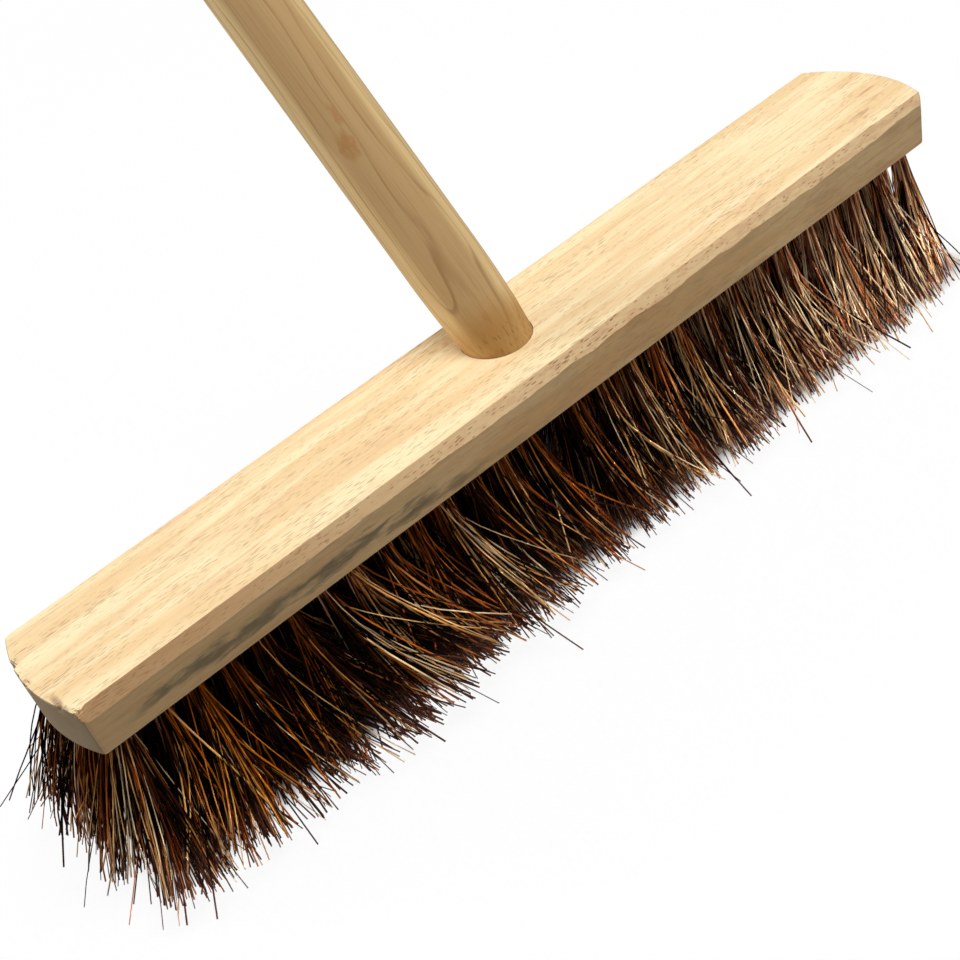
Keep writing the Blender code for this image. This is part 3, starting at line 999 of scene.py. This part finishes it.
def scatter_fibres(fields, given):
    """Points with each fibre's root and tip, its thickness, length and tone."""
    wire, draw, way, arrow, read = fields.wire, fields.draw, fields.way, fields.arrow, fields.read
    points = wire.node("GeometryNodeMeshToPoints", None, {"Mesh": given["Tufts"]})
    copies = {"Geometry": points, "Amount": read("fibres", "INT")}
    points = wire.node("GeometryNodeDuplicateElements", None, copies)
    loose = read("loose")
    place = wire.node("GeometryNodeInputPosition")
    spread = way(1).scaled(draw(2) ** 0.5 * loose)
    root = place + spread.scaled(given["Hole radius"])
    bunched = way(3, BUNCH).scaled(draw(4, bunch=BUNCH) * given["Crossing"] * loose)
    far = draw(13)
    straying = far * given["Frizz"] + far ** STRAY_POWER * given["Stray reach"]
    stray = way(14).scaled(straying * loose)
    swept = draw(5, bunch=BUNCH) ** 2 * (1 - draw(15) * SWEEP_SPREAD)
    sweep = arrow("sweep").scaled(swept)
    tip = arrow("tip") + spread.scaled(given["Tip fan"]) + bunched + stray + sweep
    reach = sweep.length()
    length = given["Fibre length"] * (1 - draw(6) ** 2 * given["Uneven trim"] * loose)
    thick = draw(7) ** 1.5 * (given["Thickest"] - given["Thinnest"]) + given["Thinnest"]
    kink = way(17).scaled(draw(19) ** KINK_POWER * given["Kink reach"] * loose)
    bow = way(9).scaled(draw(10, -BOW_REACH, BOW_REACH))
    tone = draw(12) * (1 - BUNCH_TONE) + draw(16, bunch=BUNCH) * BUNCH_TONE
    vectors = {"root": root, "tip": tip, "kink": kink, "bow": bow}
    numbers = {
        "length": length + reach * SWEEP_LONGER,
        "thick": thick,
        "bend": read("bend") * draw(8, *BEND_SPREAD),
        "kink_at": draw(18, *KINK_PLACES),
        "number": draw(11, 0, MOST_SHAKES),
        "tone": tone + reach * given["Sweep brightness"],
    }
    for name, value in vectors.items():
        points = fields.keep(points, name, value, "FLOAT_VECTOR")
    for name, value in numbers.items():
        points = fields.keep(points, name, value)
    return points


# %% Bend a line for each fibre
LEAST_FALL_SQUARED, ABOVE_FLOOR = 0.0003, 0.0004
ROOT_POWER = 6
SHAKES_ALONG, SHAKE_DETAIL = 1.6, 1.5


def bend_lines(fields, given, points):
    wire, arrow, read = fields.wire, fields.arrow, fields.read
    line = wire.node("GeometryNodeCurvePrimitiveLine", None, {"End": (0, 0, -1)})
    line = wire.node("GeometryNodeResampleCurve", None, {"Curve": line, "Count": given["Points along"]})
    lines = wire.node("GeometryNodeInstanceOnPoints", None, {"Points": points, "Instance": line})
    lines = wire.node("GeometryNodeRealizeInstances", None, {"Geometry": lines})
    along = wire.node("GeometryNodeSplineParameter", out="Factor")
    root, tip = arrow("root"), arrow("tip")
    gap = tip - root
    off = gap.length()
    length = read("length")
    fall = (length * length - off * off).at_least(LEAST_FALL_SQUARED) ** 0.5
    free = (along - given["Held share"]).at_least(0)
    lean = (free / (1 - given["Held share"])) ** read("bend")
    arch = along * (1 - along) * 4
    rooted = given["Rooted"] * (1 - along) ** ROOT_POWER
    level = root + gap.scaled(lean) + arrow("bow").scaled(arch)
    past_kink = (along - read("kink_at")).at_least(0)
    level = level + arrow("kink").scaled(past_kink)
    seat = fields.vector(along * SHAKES_ALONG, read("number"), 0.5)
    wander = cloud(seat, SHAKE_DETAIL).also("Color") - MIDDLE_GREY
    level = level + wander.scaled(given["Wander"] * along)
    x, y, _ = level.at_least(given["Lowest tip"]).at_most(given["Highest tip"]).parts()
    height = (rooted - along * fall).at_least(given["Floor"] + ABOVE_FLOOR)
    path = fields.vector(x, y, height)
    lines = wire.node("GeometryNodeSetPosition", None, {"Geometry": lines, "Position": path})
    return fields.keep(lines, "along", along)


# %% Give every line a skin
SKIN_SIDES = 3
ROOT_THICKNESS, TIP_TAPER = 1.05, 0.15


def skin_lines(fields, lines):
    """Three-sided tapering tubes. Their own map has tone across and the fibre's length up."""
    wire = fields.wire
    sides = {"Resolution": SKIN_SIDES, "Radius": 0.5}
    round_line = wire.node("GeometryNodeCurvePrimitiveCircle", None, sides)
    along = fields.read("along")
    width = fields.read("thick") * (ROOT_THICKNESS - along * TIP_TAPER)
    sockets = {"Curve": lines, "Profile Curve": round_line, "Scale": width, "Fill Caps": True}
    skins = wire.node("GeometryNodeCurveToMesh", None, sockets)
    spot_on_map = fields.vector(fields.read("tone"), along)
    skins = fields.keep(skins, "OFBake", spot_on_map, "FLOAT2", "CORNER")
    return wire.node("GeometryNodeSetShadeSmooth", None, {"Geometry": skins})


def make_fibre_tree():
    tree = bpy.data.node_groups.new("grow_fibres", "GeometryNodeTree")
    for name, value in FIBRE_INPUTS.items():
        kind = KINDS.get(type(value), value)
        socket = tree.interface.new_socket(name, in_out="INPUT", socket_type=f"NodeSocket{kind}")
        if kind != value:
            socket.default_value = value
    tree.interface.new_socket("Fibres", in_out="OUTPUT", socket_type="NodeSocketGeometry")
    wire = Wire(tree)
    entry = wire.node("NodeGroupInput")
    given = {name: entry.also(name) for name in FIBRE_INPUTS}
    fields = Fields(tree, given)
    skins = skin_lines(fields, bend_lines(fields, given, scatter_fibres(fields, given)))
    skins = wire.node("GeometryNodeRealizeInstances", None, {"Geometry": skins})
    skins = wire.node("GeometryNodeSetMaterial", None, {"Geometry": skins, "Material": given["Finish"]})
    wire.node("NodeGroupOutput", None, {"Fibres": skins})
    return tree


fibre_tree = make_fibre_tree()
print("fibre tree has", len(fibre_tree.nodes), "nodes")

# %% [markdown]
# ### The colour of the fibre
#
# Split palm fibre is mostly dark brown, and a few strands are rust, orange or straw. Each
# fibre has a tone from 0 to 1, and a ramp turns it into a colour, with most of the ramp
# dark. Along its length a fibre is warm where it leaves the wood and dull and a little
# purple at its cut tip. Both numbers come from the fibre's own map. A third, the wear and
# painted light, is kept on each face: it bleaches the right half and the left end, partly
# as real wear and partly as painted light, and darkens the left.

# %% Fibre material
TONES = (
    (0.00, paint(6, 2, 1)),
    (0.40, paint(8, 3, 1)),
    (0.57, paint(25, 8, 3)),
    (0.67, paint(100, 39, 9)),
    (0.75, paint(206, 110, 34)),
    (0.82, paint(252, 188, 102)),
    (0.90, paint(255, 224, 174)),
)
WEAR_AND_LIGHT_LIFT = 0.27
WARM_ROOT, DULL_TIP = paint(208, 108, 30), paint(138, 86, 68)
PATCHES_ON_MAP = (260, 5, 0)


def make_palm_fibre():
    material, wire, surface = new_material("palm_fibre")
    spot_on_map = wire.node("ShaderNodeUVMap", {"uv_map": "OFBake"})
    tone, along, _ = spot_on_map.parts()
    wear_and_light = wire.node("ShaderNodeAttribute", {"attribute_name": "wear_and_light"}, out="Fac")
    shade = tone + wear_and_light * WEAR_AND_LIGHT_LIFT
    colour = wire.node("ShaderNodeValToRGB", None, {0: shade})
    stops = colour.socket.node.color_ramp.elements
    while len(stops) < len(TONES):
        stops.new(1)
    for stop, (share, dye) in zip(stops, TONES):
        stop.position, stop.color = share, dye
    colour = colour * ease(cloud(spot_on_map * PATCHES_ON_MAP), 0.35, 0.65, 0.55, 1.25)
    warm = ease(along, 0.1, 0.5, 1, 0) * ease(shade, 0.3, 0.75)
    colour = coats(colour, (warm * 0.45, WARM_ROOT), (ease(along, 0.75, 1.0) * 0.3, DULL_TIP))
    # Wear pales the fibre, and painted light brightens it.
    faded_and_lit = {"Hue": 0.5 - wear_and_light * 0.004, "Saturation": 1 - wear_and_light * 0.08, "Value": 1 + wear_and_light * 0.2}
    colour = wire.node("ShaderNodeHueSaturation", None, {**faded_and_lit, "Color": colour})
    feed(surface, Base_Color=colour, Roughness=0.38, Specular_IOR_Level=0.05)
    return material


palm_fibre = make_palm_fibre()
print("the fibre's ramp has", len(TONES), "colours")

# %% [markdown]
# ### Twenty-eight columns of tufts
#
# One rule says where a tuft's tips stand. Those near a side or the left end lean out, the
# left half more than the right, and at the right end they are drawn in a little. The front
# left tufts also have some long fibres that sweep forward and to the right across their
# neighbours.

# %% Where the tips stand
LEFT_END_SPLAY, RIGHT_END_SPLAY = 0.0260, -0.0115
LEFT_SIDE_SPLAY, RIGHT_SIDE_SPLAY = 0.025, 0.009
END_POWER, SIDE_POWER = 3, 1.3
BACK_EASE, GAP_LEAN = 0.35, 0.006
# Below nothing, the front tufts of the left end lean out more than the back ones.
LEFT_TILT = -0.05


def tuft_tip(x, y):
    along, across = x / LAST_COLUMN, y / ROWS[-1]
    most, tilt = (LEFT_END_SPLAY, LEFT_TILT) if x < 0 else (RIGHT_END_SPLAY, 0)
    end_splay = most * abs(along) ** END_POWER * (1 + tilt * across)
    side_most = ((1 - along) * LEFT_SIDE_SPLAY + (1 + along) * RIGHT_SIDE_SPLAY) / 2
    side_splay = side_most * abs(across) ** SIDE_POWER
    if y > 0 and x < 0:
        side_splay *= 1 + BACK_EASE * along
    # The tufts beside the middle gap lean into it, apart from those of the front row.
    if abs(x) < MIDDLE_PITCH and y > ROWS[0]:
        end_splay = -GAP_LEAN
    return x + math.copysign(1, x) * end_splay, y + math.copysign(side_splay, y)


print("the left front tips stand at", [round(v, 4) for v in tuft_tip(-LAST_COLUMN, ROWS[0])])

# %% How far the long fibres sweep
SWEEP_CENTRE, SWEEP_WIDTH = -0.137, 0.07
LEFT_SWEEP, LEFT_SWEEP_FORWARD = 0.052, 0.010
# All the front has a small sweep, which fades away between these places.
SMALL_SWEEP, SWEEP_FORWARD = ((0.10, 0.18), (0.005, 0)), 0.006


def tuft_sweep(x, y):
    """How far the longest strays of a front tuft lean over their neighbours."""
    if y > ROWS[1]:
        return 0, 0, 0
    left = math.exp(-(((x - SWEEP_CENTRE) / SWEEP_WIDTH) ** 2))
    aside = LEFT_SWEEP * left + np.interp(x, *SMALL_SWEEP)
    return aside, -LEFT_SWEEP_FORWARD * left - SWEEP_FORWARD, 0


print("the longest sweep is", round(tuft_sweep(SWEEP_CENTRE, ROWS[0])[0], 4))

# %% The points of a column
FIBRES_IN_TUFT, FIBRES_IN_END_TUFT = 86, 120
TUFT_LEAN = 0.004
# Places along the stock, and what the tufts there are: fuller, looser, later to bend.
FULLER_PLACES = 0.15, LAST_COLUMN
LOOSE_PLACES, LOOSE = (-LAST_COLUMN, -0.17, 0.15, LAST_COLUMN), (0.9, 1, 1, 0.9)
BEND_PLACES = -LAST_COLUMN, -0.17, 0.17, LAST_COLUMN
MIDDLE_BEND, RIGHT_END_BEND = 1.8, 1.5
LEFT_END_BENDS = (ROWS[0], 0), (1.3, 0.65)


def tuft_bend(x, y):
    bends = np.interp(y, *LEFT_END_BENDS), MIDDLE_BEND, MIDDLE_BEND, RIGHT_END_BEND
    return np.interp(x, BEND_PLACES, bends)


def tuft_points(name, x, rows):
    """A mesh of points, one for each tuft. The column's place is its random seed."""
    mesh = bpy.data.meshes.new(name)
    mesh.from_pydata([(x, y, 0) for y in rows], [], [])
    leans = np.random.default_rng(round(x * 1e4) % 997).normal(0, TUFT_LEAN, (len(rows), 2))
    tips = [(*(np.array(tuft_tip(x, y)) + lean), 0) for y, lean in zip(rows, leans)]
    count = int(np.interp(abs(x), FULLER_PLACES, (FIBRES_IN_TUFT, FIBRES_IN_END_TUFT)))
    loose = np.interp(x, LOOSE_PLACES, LOOSE)
    store(mesh, "tip", tips, "FLOAT_VECTOR")
    store(mesh, "sweep", [tuft_sweep(x, y) for y in rows], "FLOAT_VECTOR")
    store(mesh, "fibres", [count] * len(rows), "INT")
    store(mesh, "loose", [loose] * len(rows))
    store(mesh, "bend", [tuft_bend(x, y) for y in rows])
    return mesh


# %% Grow the columns
# Wear and painted light at places along the stock. Above nothing it bleaches and brightens the
# fibre, partly real wear and partly painted light; below nothing it darkens it.
WEAR_PLACES = -0.245, -0.215, -0.185, -0.145, -0.110, 0.0, 0.15, 0.21
WEAR_AND_LIGHT = 0.7, 0.15, -0.25, -0.25, 0.15, 0.0, 1.0, 0.9
# What the tree left on the points and the material doesn't read.
SPENT = "root", "tip", "length", "thick", "bend", "bow", "number", "along", "tone"
SPENT += "fibres", "loose", "sweep", "kink", "kink_at"


def grow_column(number, x, rows):
    name = f"fibre_{number:02d}"
    column = put_in_scene(name, tuft_points(name, x, rows))
    grow = column.modifiers.new("grow_fibres", "NODES")
    grow.node_group = fibre_tree
    for key, value in ("Seed", number), ("Finish", palm_fibre):
        grow[fibre_tree.interface.items_tree[key].identifier] = value
    mesh = settle(column)
    for key in SPENT:
        mesh.attributes.remove(mesh.attributes[key])
    wear_and_light = np.interp([p.center.x for p in mesh.polygons], WEAR_PLACES, WEAR_AND_LIGHT)
    store(mesh, "wear_and_light", wear_and_light, domain="FACE")
    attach(column, "head")
    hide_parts(f"tufts_{number:02d}")
    return column


columns = [grow_column(i, x, rows) for i, (x, rows) in enumerate(LAYOUT, start=1)]
triangles = [sum(len(p.vertices) - 2 for p in c.data.polygons) for c in columns]
print("fibre triangles", sum(triangles), "the most in one column", max(triangles))
